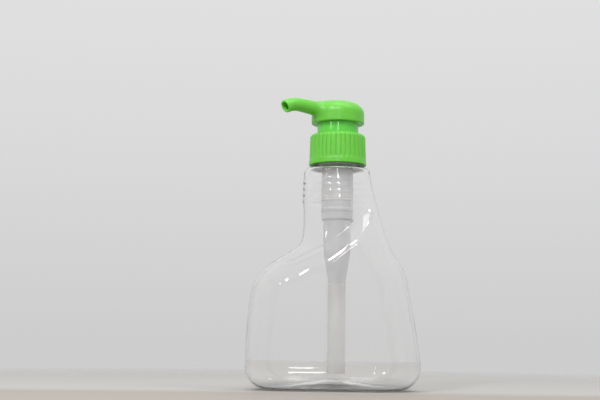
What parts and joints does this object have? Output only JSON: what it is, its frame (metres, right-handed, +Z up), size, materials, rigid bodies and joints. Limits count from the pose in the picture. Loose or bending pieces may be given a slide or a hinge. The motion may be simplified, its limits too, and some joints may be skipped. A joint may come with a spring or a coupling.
{
  "type": "soap pump dispenser",
  "caption": "Free-standing clear bottle with a screw-on lotion pump: the head presses and swivels over a sprung piston, and a dip tube feeds the curved spout.",
  "frame": {"origin": "middle of the bottle's footprint, on the surface it stands on; the pump's axis stands at X = +2 mm", "axes": "+Z up along the pump's axis, X along the bottle's long side with the sloping shoulder towards +X, Y front to back with the spout turned towards -X and -Y"},
  "size_m": [0.099, 0.056, 0.166],
  "materials": {
    "bottle_pet": "clear blown PET, glossy",
    "green_plastic": "satin moulded polypropylene, yellowish green",
    "collar_plastic": "glossy moulded polypropylene, slightly bluer green",
    "natural_plastic": "translucent natural polypropylene",
    "tube_plastic": "translucent extruded polyethylene",
    "white_plastic": "white soft polyethylene",
    "gasket_foam": "white closed-cell foam",
    "spring_steel": "stainless spring wire",
    "ball_glass": "polished glass ball"
  },
  "bodies": {
    "bottle": {"bottle": "bottle_pet"},
    "pump_body": {"housing": "natural_plastic", "lock_collar": "collar_plastic", "neck_gasket": "gasket_foam", "dip_tube": "tube_plastic", "ball_retainer": "white_plastic"},
    "closure": {"closure_cap": "green_plastic"},
    "spring": {"spring": "spring_steel"},
    "head": {"pump_head": "green_plastic", "stem": "natural_plastic", "plunger_rod": "natural_plastic"},
    "piston": {"piston": "white_plastic"},
    "inlet_ball": {"inlet_ball": "ball_glass"}
  },
  "joints": [
    {"name": "unscrew_rise", "type": "slide", "parent": "bottle", "child": "pump_body", "axis": [0, 0, 1], "range_m": [0, 0.00529]},
    {"name": "closure_turn", "type": "hinge", "parent": "pump_body", "child": "closure", "pos_m": [0.002, 0, 0.13], "axis": [0, 0, 1], "range_deg": [0, 450]},
    {"name": "pump_stroke", "type": "slide", "parent": "pump_body", "child": "spring", "axis": [0, 0, 1], "range_m": [0, 0.014], "deforming": ["spring"]},
    {"name": "head_turn", "type": "hinge", "parent": "spring", "child": "head", "pos_m": [0.002, 0, 0.15], "axis": [0, 0, 1], "continuous": true},
    {"name": "piston_shift", "type": "slide", "parent": "head", "child": "piston", "axis": [0, 0, 1], "range_m": [0, 0.0012]},
    {"name": "inlet_ball_lift", "type": "slide", "parent": "pump_body", "child": "inlet_ball", "axis": [0, 0, 1], "range_m": [0, 0.0014]}
  ],
  "couplings": [
    {"joint": "closure_turn", "follows": "unscrew_rise", "rad_per_m": 1485.4}
  ]
}
